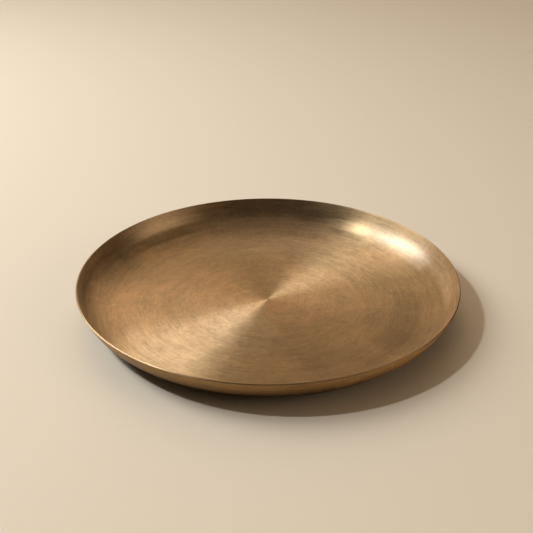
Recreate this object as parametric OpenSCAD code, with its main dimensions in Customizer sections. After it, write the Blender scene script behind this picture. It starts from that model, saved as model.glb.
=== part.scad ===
// Thali plate: one round of brass sheet, spun into a flat floor, a wide curved corner
// and a short wall that leans outward to a plain dressed rim.
// Millimetres, +Z up, origin at the centre of the underside.

/* [Plate] */
// Diameter over the rim
rim_d = 300; // [200:5:400]
// Height from the table to the top of the rim
height = 25; // [20:0.5:45]

/* [Sheet] */
// Thickness of the brass sheet
sheet = 1.2; // [0.8:0.1:2]

/* [Wall] */
// Radius of the curved corner, on its outer side
corner_r = 32; // [10:1:38]
// Lean of the wall above the corner, in degrees from upright
wall_lean = 24; // [16:1:45]

/* [Rim] */
// Radius that the two edges of the rim are dressed to
edge_r = 0.35; // [0.1:0.05:0.4]

/* [Hidden] */
$fn = 240;

rim_r = rim_d / 2;
half_sheet = sheet / 2;
// Half of the flat land that is left between the two dressed edges
half_land = half_sheet - edge_r;

// Middle of the rim's end face, set so that the dressed edges reach rim_d and height
tip_x = rim_r - edge_r * (1 - sin(wall_lean)) - half_land * cos(wall_lean);
tip_z = height - edge_r * (1 - cos(wall_lean)) - half_land * sin(wall_lean);

// The corner is an arc about a centre at height corner_r, along the middle of the sheet
middle_r = corner_r - half_sheet;
corner_end_z = corner_r - middle_r * sin(wall_lean);
wall_run = (tip_z - corner_end_z) / cos(wall_lean);
floor_r = tip_x - wall_run * sin(wall_lean) - middle_r * cos(wall_lean);

// Wedge below the corner's centre that holds the bent stretch of the sheet
module corner_wedge() {
    reach = 2 * corner_r;
    polygon([
        [0, 0],
        [0, -reach],
        [reach, -reach],
        [reach * cos(wall_lean), -reach * sin(wall_lean)]
    ]);
}

module floor_section() {
    square([floor_r, sheet]);
}

module corner_section() {
    translate([floor_r, corner_r])
    intersection() {
        difference() {
            circle(r = corner_r);
            circle(r = corner_r - sheet);
        }
        corner_wedge();
    }
}

// Straight wall, drawn upright from the middle of its end face and then leaned over
module wall_section() {
    translate([tip_x, tip_z])
    rotate(-wall_lean) {
        translate([-half_sheet, -wall_run]) square([sheet, wall_run - edge_r]);
        translate([-half_land, -edge_r]) square([2 * half_land, edge_r]);
        for (side = [-1, 1]) translate([side * half_land, -edge_r]) circle(r = edge_r);
    }
}

module plate() {
    color("#a98a5e")
    rotate_extrude() {
        floor_section();
        corner_section();
        wall_section();
    }
}

plate();
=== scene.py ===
import math
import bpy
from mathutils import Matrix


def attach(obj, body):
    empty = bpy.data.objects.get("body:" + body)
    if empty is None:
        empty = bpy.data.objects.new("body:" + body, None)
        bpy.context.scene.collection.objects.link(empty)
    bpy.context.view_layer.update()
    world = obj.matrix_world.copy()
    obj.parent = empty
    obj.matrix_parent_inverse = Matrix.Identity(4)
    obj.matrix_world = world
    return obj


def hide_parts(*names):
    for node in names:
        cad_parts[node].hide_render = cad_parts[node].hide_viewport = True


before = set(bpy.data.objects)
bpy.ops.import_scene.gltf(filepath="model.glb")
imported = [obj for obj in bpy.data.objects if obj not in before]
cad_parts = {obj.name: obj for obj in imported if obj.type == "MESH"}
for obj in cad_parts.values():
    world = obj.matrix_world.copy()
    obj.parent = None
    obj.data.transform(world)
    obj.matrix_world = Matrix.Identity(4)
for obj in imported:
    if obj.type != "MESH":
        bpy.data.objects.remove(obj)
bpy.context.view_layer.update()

from types import SimpleNamespace

import bpy
from mathutils import Matrix, Vector

print("frame loaded:", ", ".join(sorted(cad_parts)))


class Wire:
    # A node socket that stands in a Python expression; each operator adds its Math node
    def __init__(self, tree, socket=None):
        self.tree = tree
        self.socket = socket

    def make(self, kind, settings=None, values=None, output=0):
        # Any node at all: its settings first, then the values or links of its sockets
        node = self.tree.nodes.new(kind)
        for name, setting in (settings or {}).items():
            if name == "choices":
                while len(node.index_switch_items) < setting:
                    node.index_switch_items.new()
            else:
                setattr(node, name, setting)
        for name, value in (values or {}).items():
            if isinstance(value, Wire):
                self.tree.links.new(value.socket, node.inputs[name])
            else:
                node.inputs[name].default_value = value
        return Wire(self.tree, node.outputs[output] if len(node.outputs) else None)

    def beside(self, output):
        # Another output of the node that this one comes from
        return Wire(self.tree, self.socket.node.outputs[output])

    def calc(self, operation, *terms):
        return self.make("ShaderNodeMath", {"operation": operation}, dict(enumerate(terms)))

    def __add__(self, other):
        return self.calc("ADD", self, other)

    def __radd__(self, other):
        return self.calc("ADD", other, self)

    def __sub__(self, other):
        return self.calc("SUBTRACT", self, other)

    def __rsub__(self, other):
        return self.calc("SUBTRACT", other, self)

    def __mul__(self, other):
        return self.calc("MULTIPLY", self, other)

    def __truediv__(self, other):
        return self.calc("DIVIDE", self, other)

    def join(self, *parts):
        # A vector from three numbers or sockets
        return self.make("ShaderNodeCombineXYZ", values=dict(zip("XYZ", parts)))

    def axis(self, letter):
        return self.make("ShaderNodeSeparateXYZ", values={"Vector": self}, output=letter)

    def blendTo(self, other, share):
        # This colour, turned into the other by the share
        mixed = {"data_type": "RGBA"}
        return self.make("ShaderNodeMix", mixed, {"Factor": share, 6: self, 7: other}, output=2)

    def within(self, low, high, lowest=0.0, highest=1.0):
        # The value from low to high, as a clamped smooth step from lowest to highest
        ends = {"From Min": low, "From Max": high, "To Min": lowest, "To Max": highest}
        smooth = {"interpolation_type": "SMOOTHSTEP", "clamp": True}
        return self.make("ShaderNodeMapRange", smooth, {"Value": self, **ends})

    def fading(self, low, high):
        # Full below low, and gone above high
        return self.within(low, high, 1.0, 0.0)

    def band(self, start, full, fade, end):
        # Nothing before start, full between full and fade, and gone past end
        return self.within(start, full) * self.fading(fade, end)


# Camera, at the photograph's angle. Distances are in metres from the plate's centre on the table.
cameraView = {
    "place": (-0.0012, -0.5952, 0.3463),
    "lookDown": 27.913,       # degrees below level
    "focalPixels": 852.0,     # focal length in pixels of the photograph's frame
    "framePixels": 533.0,
    "sensor": 36.0,           # millimetres
    "nearest": 0.01,
}


def makeCamera(view):
    data = bpy.data.cameras.new("camera")
    data.sensor_width = view["sensor"]
    data.lens = view["focalPixels"] * view["sensor"] / view["framePixels"]
    data.clip_start = view["nearest"]
    camera = bpy.data.objects.new("camera", data)
    bpy.context.collection.objects.link(camera)
    camera.location = view["place"]
    camera.rotation_euler = (math.radians(90 - view["lookDown"]), 0, 0)
    bpy.context.scene.camera = camera


makeCamera(cameraView)
print("camera placed")


# Plate shape, the same section as the CAD plate, in metres. Each value is an input of the node tree.
plateShape = {
    "Rim Radius": 0.150,
    "Height": 0.025,
    "Sheet": 0.0012,
    "Corner Radius": 0.032,
    "Wall Lean": math.radians(24),
    "Edge Radius": 0.00035,
    "Turns": 360,
    "Corner Steps": 28,
    "Edge Steps": 5,
    "Floor Rings": 40,
    "Weld Distance": 0.000001,
}


def layCorners(wire, given):
    # Corners of the section before they are rounded, and the radius and the steps that round each.
    # They run from the middle of the underside, up the outer side, over the rim and back down.
    lean = given["Wall Lean"]
    sheet = given["Sheet"]
    edge = given["Edge Radius"]
    sine = lean.calc("SINE", lean)
    cosine = lean.calc("COSINE", lean)
    slope = sine / cosine
    halfSheet = sheet * 0.5
    halfLand = halfSheet - edge
    # The middle of the rim's end face, then its two edges
    tipX = given["Rim Radius"] - edge * (1 - sine) - halfLand * cosine
    tipZ = given["Height"] - edge * (1 - cosine) - halfLand * sine
    outerX = tipX + halfSheet * cosine
    outerZ = tipZ - halfSheet * sine
    innerX = tipX - halfSheet * cosine
    innerZ = tipZ + halfSheet * sine
    corners = [
        wire.join(0.0, 0.0, 0.0),
        wire.join(outerX - outerZ * slope, 0.0, 0.0),
        wire.join(outerX, 0.0, outerZ),
        wire.join(innerX, 0.0, innerZ),
        wire.join(innerX - (innerZ - sheet) * slope, 0.0, sheet),
        wire.join(0.0, 0.0, sheet),
    ]
    bend = given["Corner Radius"]
    radii = [0.0, bend, edge, edge, bend - sheet, 0.0]
    bendSteps = given["Corner Steps"]
    edgeSteps = given["Edge Steps"]
    steps = [1, bendSteps, edgeSteps, edgeSteps, bendSteps, 1]
    return corners, radii, steps


def drawSection(wire, given):
    # The section as one line of points
    corners, radii, steps = layCorners(wire, given)
    index = wire.make("GeometryNodeInputIndex")

    def perCorner(dataType, values):
        # One value for each corner of the section
        settings = {"data_type": dataType, "choices": len(values)}
        filled = {"Index": index}
        filled.update({str(place): value for place, value in enumerate(values)})
        return wire.make("GeometryNodeIndexSwitch", settings, filled)

    line = wire.make("GeometryNodeMeshLine", values={"Count": len(corners)})
    line = wire.make("GeometryNodeMeshToCurve", values={"Mesh": line})
    line = wire.make("GeometryNodeSetPosition",
                     values={"Geometry": line, "Position": perCorner("VECTOR", corners)})
    line = wire.make("GeometryNodeFilletCurve", {"mode": "POLY"},
                     {"Curve": line, "Radius": perCorner("FLOAT", radii), "Count": perCorner("INT", steps)})
    # Extra rings on the two flat spans, the first and the last, so that their shading stays flat.
    # An index goes up in whole steps, so a half between two of them tells them apart.
    points = wire.make("GeometryNodeAttributeDomainSize", {"component": "CURVE"}, {"Geometry": line})
    first = index.calc("LESS_THAN", index, 0.5)
    last = index.calc("GREATER_THAN", index, points - 2.5)
    rings = (first + last) * given["Floor Rings"]
    return wire.make("GeometryNodeSubdivideCurve", values={"Curve": line, "Cuts": rings})


def turnSection(wire, given, section):
    # A grid with one row for each point of the section and one column for each turn step,
    # laid around the axis and welded where it closes and at its two poles
    rows = wire.make("GeometryNodeAttributeDomainSize", {"component": "CURVE"}, {"Geometry": section})
    columns = given["Turns"] + 1
    grid = wire.make("GeometryNodeMeshGrid", values={"Vertices X": rows, "Vertices Y": columns})
    gridMap = grid.beside("UV Map")
    index = wire.make("GeometryNodeInputIndex")
    row = index.calc("FLOOR", (index + 0.5) / columns)
    turn = (index - row * columns) / given["Turns"] * (2 * math.pi)
    place = wire.make("GeometryNodeInputPosition")
    onSection = wire.make("GeometryNodeSampleIndex", {"data_type": "FLOAT_VECTOR", "clamp": True},
                          {"Geometry": section, "Value": place, "Index": row})
    radius = onSection.axis("X")
    around = wire.join(radius * turn.calc("COSINE", turn), radius * turn.calc("SINE", turn),
                       onSection.axis("Z"))
    mapped = wire.join(gridMap.axis("Y"), gridMap.axis("X"), 0.0)
    plate = wire.make("GeometryNodeStoreNamedAttribute", {"data_type": "FLOAT2", "domain": "CORNER"},
                      {"Geometry": grid, "Name": "UVMap", "Value": mapped})
    plate = wire.make("GeometryNodeSetPosition", values={"Geometry": plate, "Position": around})
    return wire.make("GeometryNodeMergeByDistance",
                     values={"Geometry": plate, "Distance": given["Weld Distance"]})


def makePlateTree(sizes):
    tree = bpy.data.node_groups.new("spunPlate", "GeometryNodeTree")
    kinds = {float: "NodeSocketFloat", int: "NodeSocketInt"}
    for name, size in sizes.items():
        tree.interface.new_socket(name, in_out="INPUT", socket_type=kinds[type(size)])
    tree.interface.new_socket("Finish", in_out="INPUT", socket_type="NodeSocketMaterial")
    tree.interface.new_socket("Geometry", in_out="OUTPUT", socket_type="NodeSocketGeometry")
    source = tree.nodes.new("NodeGroupInput")
    given = {socket.name: Wire(tree, socket) for socket in source.outputs if socket.name}
    wire = Wire(tree)
    plate = turnSection(wire, given, drawSection(wire, given))
    plate = wire.make("GeometryNodeSetShadeSmooth", values={"Geometry": plate})
    plate = wire.make("GeometryNodeRealizeInstances", values={"Geometry": plate})
    plate = wire.make("GeometryNodeSetMaterial", values={"Geometry": plate, "Material": given["Finish"]})
    tree.links.new(plate.socket, tree.nodes.new("NodeGroupOutput").inputs["Geometry"])
    return tree


def pressPlate(sizes, material):
    tree = makePlateTree(sizes)
    blank = bpy.data.objects.new("blank", bpy.data.meshes.new("blank"))
    bpy.context.collection.objects.link(blank)
    modifier = blank.modifiers.new("spun", "NODES")
    modifier.node_group = tree
    for item in tree.interface.items_tree:
        if item.in_out == "INPUT":
            modifier[item.identifier] = sizes.get(item.name, material)
    graph = bpy.context.evaluated_depsgraph_get()
    mesh = bpy.data.meshes.new_from_object(blank.evaluated_get(graph), depsgraph=graph)
    bpy.data.objects.remove(blank)
    mesh.name = "spun_plate"
    plate = bpy.data.objects.new("spun_plate", mesh)
    bpy.context.collection.objects.link(plate)
    return plate


# Brass finish. Lengths are in metres, and a place with x and y lies on the plan of the plate. A band
# gives the four radii at which a cover starts, is full, fades and ends.
brassFinish = {
    "plain": (0.452, 0.320, 0.176, 1),
    "warm": (0.500, 0.318, 0.172, 1),
    "olive": (0.395, 0.303, 0.155, 1),
    # A paler colour for rubbed wear, which also paints highlight and reflection
    "rubbedAndSheen": (0.560, 0.437, 0.290, 1),
    # A darker colour for dull patina, which also paints shade
    "dullAndShade": (0.270, 0.195, 0.103, 1),
    # A pale colour for a painted highlight on the corner
    "paintedHighlight": (0.62, 0.50, 0.355, 1),
    "outer": (0.420, 0.250, 0.100, 1),
    # A lighter colour for painted light on the outside
    "paintedLightOutside": (0.600, 0.365, 0.155, 1),
    # A near black for painted shade low on the outside and under the plate
    "paintedShadeBelow": (0.040, 0.023, 0.009, 1),
    "worn": (0.52, 0.40, 0.25, 1),
    # A dark colour for specks, and for the painted shade line on the rim
    "speckAndShadeDark": (0.11, 0.068, 0.034, 1),
    "roughness": 0.490,
    "anisotropy": 0.88,
    "grainTurn": 0.25,
    "grooveDepth": 0.000012,
    "leastRadius": 0.00001,
    # The section's rows run from 0 in the middle of the underside to 1 in the middle of the floor.
    # The outer side ends between these two, on the rim.
    "rimRows": (0.49, 0.51),
    # Strokes of the lathe: the size of their circle in the noise, the ripples per metre across it, an
    # offset in the noise, and their shares in the tone and the roughness. The sparse ones are few and
    # strong, and tilt the surface sideways too.
    "strokes": [
        {"around": 1.2, "across": 140, "offset": 5.0, "tone": 0.28, "matt": 0.03},
        {"around": 2.5, "across": 420, "offset": 13.0, "tone": 0.30, "matt": 0.03},
        {"around": 6.0, "across": 950, "offset": 21.0, "tone": 0.44, "matt": 0.10,
         "sparse": 7.0, "sway": 0.025},
        {"around": 11.0, "across": 1700, "offset": 47.0, "tone": 0.70, "matt": 0.14,
         "sparse": 7.0, "sway": 0.045},
        {"around": 12.0, "across": 3600, "offset": 83.0, "tone": 0.58, "matt": 0.12},
    ],
    "strokeDetail": 1.5,
    "sway": {"full": 0.112, "least": 0.138, "left": 0.3},
    # Patina in three sizes, with the share of each in the shade
    "cloud": {"scale": 21.0, "detail": 3.0, "shade": 0.46},
    "haze": {"scale": 77.7, "detail": 4.0, "shade": 0.36, "matt": 0.04},
    "mottle": {"scale": 315.0, "detail": 2.0, "shade": 0.36},
    "tint": {"cloud": 2.2, "full": 0.7, "share": 0.7, "warmSmooth": 0.02, "oliveMatt": 0.03},
    # Stains: the middle of each, how far it reaches from there, the radii of the plate between which
    # it is kept, how softly it starts at the smaller one, and its share. The pale ones are partly painted
    # highlight and reflection, and the dull ones partly painted shade.
    "stainEdges": {"fray": 0.03, "core": 0.3, "softestEnd": 0.006},
    # Pale stains: rubbed wear, and painted highlight and reflection on the floor's bright fan, the right wall
    # and the back left wall
    "rubbedAndSheenStains": [
        {"x": -0.098, "y": 0.108, "reach": 0.075, "from": 0.142, "to": 0.160, "soft": 0.002, "share": 0.70},
        {"x": -0.088, "y": 0.020, "reach": 0.066, "from": 0.0, "to": 0.129, "soft": 0.006, "share": 0.12},
        {"x": -0.022, "y": -0.046, "reach": 0.048, "from": 0.0, "to": 0.125, "soft": 0.006, "share": 0.50},
        {"x": -0.005, "y": 0.128, "reach": 0.090, "from": 0.090, "to": 0.146, "soft": 0.030, "share": 0.60},
        {"x": -0.064, "y": -0.080, "reach": 0.060, "from": 0.0, "to": 0.133, "soft": 0.006, "share": 0.30},
        {"x": 0.141, "y": 0.012, "reach": 0.064, "from": 0.140, "to": 0.146, "soft": 0.004, "share": 0.95},
    ],
    # Dull stains: dull patina, and painted shade on the front and right of the floor, on the walls and beside
    # the highlight on the back right corner
    "dullAndShadeStains": [
        {"x": 0.075, "y": 0.128, "reach": 0.034, "from": 0.144, "to": 0.150, "soft": 0.002, "share": 0.70},
        {"x": -0.146, "y": -0.03, "reach": 0.075, "from": 0.1435, "to": 0.149, "soft": 0.0015, "share": 0.52},
        {"x": 0.035, "y": 0.065, "reach": 0.040, "from": 0.0, "to": 0.110, "soft": 0.006, "share": 0.22},
        {"x": 0.120, "y": -0.030, "reach": 0.085, "from": 0.106, "to": 0.137, "soft": 0.026, "share": 0.95},
        {"x": 0.110, "y": -0.005, "reach": 0.100, "from": 0.055, "to": 0.137, "soft": 0.040, "share": 0.70},
        {"x": 0.030, "y": -0.110, "reach": 0.125, "from": 0.020, "to": 0.132, "soft": 0.020, "share": 0.42},
        {"x": -0.095, "y": 0.102, "reach": 0.060, "from": 0.135, "to": 0.140, "soft": 0.003, "share": 0.90},
        {"x": 0.072, "y": 0.112, "reach": 0.026, "from": 0.1315, "to": 0.135, "soft": 0.0025, "share": 0.75},
    ],
    # A ring of painted shade on the floor's edge, and the burnished corner, with their shares in the shade
    # and roughness
    "ring": {"band": (0.100, 0.112, 0.120, 0.131), "haze": 1.4, "least": 0.8, "shade": 0.03},
    "burnish": {"band": (0.131, 0.138, 0.144, 0.149), "smooth": 0.09},
    # Lacquer: a trace all over, and a pool on the burnished corner at the back right, which is cut off
    # towards the front along a line through the plate's centre. The pool's colour is also turned paler,
    # a painted highlight.
    "lacquer": {"trace": 0.04, "pooled": 0.96, "roughness": 0.32, "paintedHighlightShare": 0.5},
    "pool": {"x": 0.118, "y": 0.070, "full": 0.012, "reach": 0.064, "slope": 0.25, "cutSoft": 0.012},
    # The outside of the wall, and painted shade that darkens it towards the bottom: full up to the lower
    # height, and gone at its top
    "outside": {"share": 0.9, "shade": 0.06, "smooth": 0.08},
    "shadeBelow": {"full": 0.004, "top": 0.023, "share": 0.92},
    # The rim: how far below the top its wear starts and is full, and how far inside the rim's radius
    # its painted dark shade line does
    "rim": {"start": 0.0011, "full": 0.0007, "haze": 0.8, "least": 0.6, "most": 0.75},
    "rimShadeLine": {"start": 0.0009, "full": 0.0005, "share": 0.95},
    # Sides of the plate by azimuth in degrees, and the cosines of the angle away from each at which
    # its cover starts and is full
    # The rim's painted shade line lies on the sides that face these azimuths
    "rimShadedSides": [
        {"azimuth": -3, "start": 0.86, "full": 0.92, "share": 1.00},
        {"azimuth": -93, "start": 0.950, "full": 0.985, "share": 0.60},
        {"azimuth": -48, "start": 0.700, "full": 0.900, "share": 0.45},
    ],
    # Painted light: the outside is lightened on its front right side
    "paintedLightSides": [{"azimuth": -50, "start": 0.85, "full": 0.96, "share": 0.90}],
    # Hairline scratches: their directions in radians, the noise that draws, bends and breaks them, and
    # their shares in the shade, the roughness and the depth
    "scratches": {
        "turns": (0.35, 1.45, 2.55),
        "lengthwise": 9.0,
        "crosswise": 120.0,
        "upward": 40.0,
        "apart": 7.0,
        "bendScale": 9.0,
        "bend": 0.03,
        "hair": (0.001, 0.006),
        "breakScale": 31.0,
        "breakDetail": 2.0,
        "breaks": (0.06, 0.14),
        "shine": 0.16,
        "smooth": 0.05,
        "depth": 0.8,
    },
    # Specks: cells of noise per metre, which of them hold a speck, and how wide it is in its cell. The
    # marks are larger, each at its own place.
    "specks": {
        "scale": 62.0,
        "chosen": (0.86, 0.88),
        "width": (0.018, 0.042),
        "marks": [{"x": 0.1133, "y": -0.0030}, {"x": 0.1224, "y": 0.0034}, {"x": 0.1273, "y": -0.0247}],
        "markRadius": (0.0004, 0.0011),
        "share": 0.55,
        "matt": 0.1,
        "depth": 0.9,
    },
}


def noiseOf(wire, point, scale, detail):
    # Noise centred on zero
    return wire.make("ShaderNodeTexNoise", values={"Vector": point, "Scale": scale, "Detail": detail}) - 0.5


def readPlate(wire, finish):
    # Where on the plate a point lies: its place, its distance from the axis, and its side
    place = wire.make("ShaderNodeTexCoord", output="Object")
    x = place.axis("X")
    y = place.axis("Y")
    # Never quite zero, so that directions hold at the centre
    squared = x * x + y * y + finish["leastRadius"] ** 2
    radius = squared.calc("POWER", squared, 0.5)
    row = wire.make("ShaderNodeUVMap", {"uv_map": "UVMap"}).axis("Y")
    outside = row.fading(*finish["rimRows"])
    return SimpleNamespace(place=place, x=x, y=y, z=place.axis("Z"), radius=radius,
                           outside=outside, inside=1.0 - outside)


def distanceFrom(at, spot):
    # Distance on the plan of the plate
    across = at.x - spot["x"]
    deep = at.y - spot["y"]
    squared = across * across + deep * deep
    return squared.calc("POWER", squared, 0.5)


def sideCover(at, sides):
    # Cover on the sides of the plate that face the listed azimuths
    covered = 0.0
    for side in sides:
        azimuth = math.radians(side["azimuth"])
        facing = (at.x * math.cos(azimuth) + at.y * math.sin(azimuth)) / at.radius
        cover = facing.within(side["start"], side["full"], 0.0, side["share"])
        covered = cover.calc("MAXIMUM", cover, covered)
    return covered


def stainCover(at, cloud, stains, edges):
    # Stains on the inner side, partly wear and partly painted highlight and shade, their outlines frayed by
    # the clouds
    covered = 0.0
    for stain in stains:
        distance = distanceFrom(at, stain) + cloud * edges["fray"]
        cover = distance.within(stain["reach"] * edges["core"], stain["reach"], stain["share"], 0.0)
        start = stain["from"] - stain["soft"]
        end = stain["to"] + min(stain["soft"], edges["softestEnd"])
        cover = cover * at.radius.band(start, stain["from"], stain["to"], end)
        covered = cover.calc("MAXIMUM", cover, covered)
    return covered * at.inside


def latheStrokes(wire, at, finish):
    # Strokes follow the circles of the lathe, and close on themselves all the way around
    along = at.radius + at.z
    tone = 0.0
    matt = 0.0
    sway = 0.0
    for stroke in finish["strokes"]:
        circle = wire.join(at.x / at.radius * stroke["around"], at.y / at.radius * stroke["around"],
                           along * stroke["across"] + stroke["offset"])
        line = noiseOf(wire, circle, 1.0, finish["strokeDetail"])
        if "sparse" in stroke:
            line = line * line.calc("ABSOLUTE", line) * stroke["sparse"]
            sway = line * stroke["sway"] + sway
        tone = line * stroke["tone"] + tone
        matt = line * stroke["matt"] + matt
    # The last and finest stroke cuts the grooves
    return SimpleNamespace(tone=tone, matt=matt, sway=sway, grooves=line)


def hairScratches(wire, at, hairs):
    # A set of scratches for each direction
    scratches = 0.0
    for turn in hairs["turns"]:
        lengthwise = at.x * math.cos(turn) + at.y * math.sin(turn)
        crosswise = at.y * math.cos(turn) - at.x * math.sin(turn)
        bend = noiseOf(wire, at.place, hairs["bendScale"] + turn, 1.0) * hairs["bend"]
        drawn = wire.join(lengthwise * hairs["lengthwise"], (crosswise + bend) * hairs["crosswise"],
                          at.z * hairs["upward"] + turn * hairs["apart"])
        level = noiseOf(wire, drawn, 1.0, 0.0)
        hair = level.calc("ABSOLUTE", level).fading(*hairs["hair"])
        lifted = wire.join(at.x, at.y, at.z + turn)
        broken = noiseOf(wire, lifted, hairs["breakScale"], hairs["breakDetail"])
        scratches = hair * broken.within(*hairs["breaks"]) + scratches
    return scratches.calc("MINIMUM", scratches, 1.0)


def darkSpecks(wire, at, sizes):
    # A few specks wherever the noise puts them, and marks at chosen places on the inner side
    cells = wire.make("ShaderNodeTexVoronoi", values={"Vector": at.place, "Scale": sizes["scale"]})
    chosen = cells.beside("Color").axis("X").within(*sizes["chosen"])
    specks = cells.fading(*sizes["width"]) * chosen
    for mark in sizes["marks"]:
        spot = distanceFrom(at, mark).fading(*sizes["markRadius"]) * at.inside
        specks = specks.calc("MAXIMUM", specks, spot)
    return specks


def readPatina(wire, at, finish):
    # Soft clouds in three sizes, which turn the metal warmer here and more olive there
    def cloudsOf(size):
        return noiseOf(wire, at.place, finish[size]["scale"], finish[size]["detail"])

    cloud = cloudsOf("cloud")
    haze = cloudsOf("haze")
    tint = finish["tint"]
    warmth = (cloud * tint["cloud"] + haze).within(0.0, tint["full"]) * tint["share"]
    dullness = (cloud * -tint["cloud"] + haze).within(0.0, tint["full"]) * tint["share"]
    return SimpleNamespace(cloud=cloud, haze=haze, mottle=cloudsOf("mottle"),
                           warmth=warmth, dullness=dullness)


def cornerWear(at, finish):
    # The corner is burnished by what has stood and slid against it, and holds a pool of lacquer that also
    # carries a painted highlight
    burnished = at.radius.band(*finish["burnish"]["band"]) * at.inside
    pool = finish["pool"]
    pooled = distanceFrom(at, pool).fading(pool["full"], pool["reach"]) * burnished
    return burnished, pooled * (at.y - at.x * pool["slope"]).within(0.0, pool["cutSoft"])


def floorRing(at, patina, ring):
    # A slightly darker ring of painted shade where the floor turns up into the corner
    clouds = patina.haze * ring["haze"] + patina.cloud + ring["least"]
    return at.radius.band(*ring["band"]) * at.inside * clouds


def rimWear(at, patina, finish, shape):
    # The rim's dressed edges, worn bright, with a painted dark shade line along the outer part of its end
    # face
    rim = finish["rim"]
    dressed = at.z.within(shape["Height"] - rim["start"], shape["Height"] - rim["full"])
    worn = dressed * (patina.haze * rim["haze"] + rim["least"])
    rimShadeLine = finish["rimShadeLine"]
    rimRadius = shape["Rim Radius"]
    endFace = at.radius.within(rimRadius - rimShadeLine["start"], rimRadius - rimShadeLine["full"])
    tarnished = dressed * endFace * sideCover(at, finish["rimShadedSides"])
    return worn.calc("MINIMUM", worn, rim["most"]), tarnished * rimShadeLine["share"]


def readWear(wire, at, patina, finish, shape):
    # All that covers or cuts the plain metal, painted highlight and shade among it
    burnished, pooled = cornerWear(at, finish)
    worn, tarnished = rimWear(at, patina, finish, shape)
    return SimpleNamespace(
        strokes=latheStrokes(wire, at, finish),
        scratches=hairScratches(wire, at, finish["scratches"]),
        specks=darkSpecks(wire, at, finish["specks"]),
        ring=floorRing(at, patina, finish["ring"]),
        burnished=burnished,
        pooled=pooled,
        worn=worn,
        tarnished=tarnished,
    )


def brassShade(at, patina, wearAndShade, finish):
    # How much lighter or darker each point is than its colour
    shade = 1.0 + wearAndShade.strokes.tone + patina.cloud * finish["cloud"]["shade"]
    shade = shade + patina.haze * finish["haze"]["shade"] + patina.mottle * finish["mottle"]["shade"]
    shade = shade - wearAndShade.ring * finish["ring"]["shade"] - at.outside * finish["outside"]["shade"]
    return shade + wearAndShade.scratches * finish["scratches"]["shine"]


def brassColour(wire, at, patina, wearAndShade, finish):
    # Each layer covers those before it by its share, and the darkest and brightest marks lie on top. Several
    # layers are painted highlight, light and shade.
    def stained(name):
        return stainCover(at, patina.cloud, finish[name], finish["stainEdges"])

    shadeBelow = finish["shadeBelow"]
    layers = [
        ("warm", patina.warmth),
        ("olive", patina.dullness),
        # Pale stains, partly painted highlight and reflection
        ("rubbedAndSheen", stained("rubbedAndSheenStains")),
        # Dull stains, partly painted shade
        ("dullAndShade", stained("dullAndShadeStains")),
        # Painted highlight: the lacquer pool's colour turned paler
        ("paintedHighlight", wearAndShade.pooled * finish["lacquer"]["paintedHighlightShare"]),
        ("outer", at.outside * finish["outside"]["share"]),
        # Painted light on the front right of the outside
        ("paintedLightOutside", sideCover(at, finish["paintedLightSides"]) * at.outside),
        # Painted shade, darker towards the bottom of the outside and under the plate
        ("paintedShadeBelow", at.z.within(shadeBelow["full"], shadeBelow["top"], shadeBelow["share"], 0.0) * at.outside),
    ]
    colour = wire.make("ShaderNodeRGB")
    colour.socket.default_value = finish["plain"]
    for name, share in layers:
        colour = colour.blendTo(finish[name], share)
    shade = brassShade(at, patina, wearAndShade, finish)
    colour = wire.make("ShaderNodeVectorMath", {"operation": "SCALE"}, {0: colour, "Scale": shade})
    colour = colour.blendTo(finish["speckAndShadeDark"], wearAndShade.specks * finish["specks"]["share"])
    colour = colour.blendTo(finish["worn"], wearAndShade.worn)
    # Painted shade: a dark line on the outer part of the rim
    return colour.blendTo(finish["speckAndShadeDark"], wearAndShade.tarnished)


def brassRoughness(at, patina, wearAndShade, finish):
    # Burnished, warm and scratched places are smoother, and dull and speckled ones rougher
    tint = finish["tint"]
    rough = wearAndShade.strokes.matt - wearAndShade.burnished * finish["burnish"]["smooth"]
    rough = rough + patina.haze * finish["haze"]["matt"]
    rough = rough + patina.dullness * tint["oliveMatt"] - patina.warmth * tint["warmSmooth"]
    rough = rough - wearAndShade.scratches * finish["scratches"]["smooth"] + wearAndShade.specks * finish["specks"]["matt"]
    return rough - at.outside * finish["outside"]["smooth"] + finish["roughness"]


def brassNormal(wire, at, wearAndShade, finish):
    # Grooves, scratches and specks cut the surface. The sparse strokes also tilt it along its circles,
    # which frays the edges of the bright fan on the floor.
    depth = wearAndShade.strokes.grooves - wearAndShade.scratches * finish["scratches"]["depth"]
    depth = depth - wearAndShade.specks * finish["specks"]["depth"]
    bump = wire.make("ShaderNodeBump", values={
        "Height": depth, "Distance": finish["grooveDepth"], "Strength": 1.0,
    })
    sway = finish["sway"]
    tilt = wearAndShade.strokes.sway * at.radius.within(sway["full"], sway["least"], 1.0, sway["left"])
    alongCircle = wire.join(at.y / at.radius * -1.0, at.x / at.radius, 0.0)
    sideways = wire.make("ShaderNodeVectorMath", {"operation": "SCALE"}, {0: alongCircle, "Scale": tilt})
    normal = wire.make("ShaderNodeVectorMath", {"operation": "ADD"}, {0: bump, 1: sideways})
    return wire.make("ShaderNodeVectorMath", {"operation": "NORMALIZE"}, {0: normal})


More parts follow.
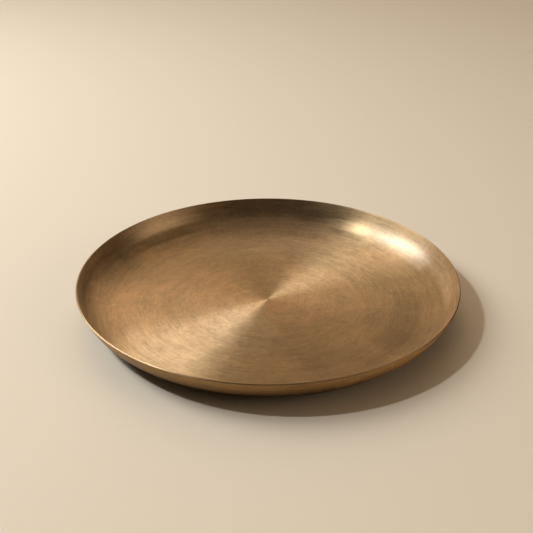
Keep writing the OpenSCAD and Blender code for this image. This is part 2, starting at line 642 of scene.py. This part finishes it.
def makeBrass(finish, shape):
    material = bpy.data.materials.new("turned_brass")
    material.use_nodes = True
    material.node_tree.nodes.clear()
    wire = Wire(material.node_tree)
    at = readPlate(wire, finish)
    patina = readPatina(wire, at, finish)
    wearAndShade = readWear(wire, at, patina, finish, shape)
    lacquer = finish["lacquer"]
    shader = wire.make("ShaderNodeBsdfPrincipled", values={
        "Base Color": brassColour(wire, at, patina, wearAndShade, finish),
        "Metallic": 1.0,
        "Roughness": brassRoughness(at, patina, wearAndShade, finish),
        "Normal": brassNormal(wire, at, wearAndShade, finish),
        "Anisotropic": finish["anisotropy"],
        "Anisotropic Rotation": finish["grainTurn"],
        "Coat Weight": wearAndShade.pooled * lacquer["pooled"] + lacquer["trace"],
        "Coat Roughness": lacquer["roughness"],
    })
    wire.make("ShaderNodeOutputMaterial", values={"Surface": shader})
    return material


brass = makeBrass(brassFinish, plateShape)
plate = pressPlate(plateShape, brass)
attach(plate, "root")
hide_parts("plate")
print("plate spun:", len(plate.data.polygons), "faces")


# Studio: a pale table top, a small lamp and a long soft one from the left, and a dim warm room that
# glows softly behind, at the right, low at the left, low at the back right and overhead. Directions
# are an azimuth and a height above level, in degrees.
studio = {
    "tableColour": (0.90, 0.83, 0.69, 1),
    "tableReach": 6.0,
    "tableRoughness": 0.7,
    "tableShine": 0.2,
    # Each lamp stretches from one direction to the other, at its distance away
    "lamps": [
        {"from": (182, 52), "to": (186, 52), "away": 2.2, "breadth": 0.14, "level": 0.80},
        {"from": (147, 21), "to": (178, 53), "away": 1.8, "breadth": 0.46, "level": 1.50},
    ],
    "roomColour": (1.0, 0.75, 0.535, 1),
    "roomLevel": 0.010,
    "glows": [
        {"azimuth": 100, "height": 34, "strength": 1.92, "tightness": 12},
        {"azimuth": 345, "height": 21, "strength": 1.85, "tightness": 23},
        {"azimuth": 160, "height": 5, "strength": 0.9, "tightness": 14},
        {"azimuth": 50, "height": 5, "strength": 0.2, "tightness": 14},
        {"azimuth": 90, "height": 80, "strength": 0.34, "tightness": 7},
    ],
}


def toward(azimuth, height):
    # Unit vector to a place in the room
    turn = math.radians(azimuth)
    rise = math.radians(height)
    return Vector((math.cos(rise) * math.cos(turn), math.cos(rise) * math.sin(turn), math.sin(rise)))


def layTable(settings):
    reach = settings["tableReach"]
    mesh = bpy.data.meshes.new("table_top")
    mesh.from_pydata([(-reach, -reach, 0), (reach, -reach, 0), (reach, reach, 0), (-reach, reach, 0)],
                     [], [(0, 1, 2, 3)])
    table = bpy.data.objects.new("table_top", mesh)
    bpy.context.collection.objects.link(table)
    material = bpy.data.materials.new("pale_table")
    material.use_nodes = True
    base = material.node_tree.nodes["Principled BSDF"]
    base.inputs["Base Color"].default_value = settings["tableColour"]
    base.inputs["Roughness"].default_value = settings["tableRoughness"]
    base.inputs["Specular IOR Level"].default_value = settings["tableShine"]
    mesh.materials.append(material)


def hangLamps(lamps):
    for lit in lamps:
        start = toward(*lit["from"])
        end = toward(*lit["to"])
        aim = (start + end).normalized()
        lengthwise = (end - start).normalized()
        lamp = bpy.data.lights.new("lamp", "AREA")
        lamp.shape = "ELLIPSE"
        lamp.size = 2 * lit["away"] * math.tan(start.angle(end) / 2)
        lamp.size_y = lit["breadth"]
        # The power that gives the wanted level of light at the plate
        lamp.energy = lit["level"] * math.pi * lit["away"] * lit["away"]
        hung = bpy.data.objects.new("lamp", lamp)
        bpy.context.collection.objects.link(hung)
        turned = Matrix((lengthwise, aim.cross(lengthwise), aim)).transposed()
        hung.matrix_world = Matrix.Translation(aim * lit["away"]) @ turned.to_4x4()


def lightRoom(settings):
    world = bpy.data.worlds.new("room")
    world.use_nodes = True
    world.node_tree.nodes.clear()
    wire = Wire(world.node_tree)
    # The direction looked in, as a world's own coordinates give it
    sight = wire.make("ShaderNodeTexCoord", output="Generated")
    strength = settings["roomLevel"]
    for glow in settings["glows"]:
        middle = toward(glow["azimuth"], glow["height"])
        near = wire.make("ShaderNodeVectorMath", {"operation": "DOT_PRODUCT"}, {0: sight, 1: middle},
                         output="Value")
        fade = near.calc("EXPONENT", (near - 1.0) * glow["tightness"])
        strength = fade * glow["strength"] + strength
    room = wire.make("ShaderNodeBackground", values={"Color": settings["roomColour"], "Strength": strength})
    wire.make("ShaderNodeOutputWorld", values={"Surface": room})
    bpy.context.scene.world = world


layTable(studio)
hangLamps(studio["lamps"])
lightRoom(studio)
bpy.context.scene.view_settings.view_transform = "Standard"
print("studio lit")
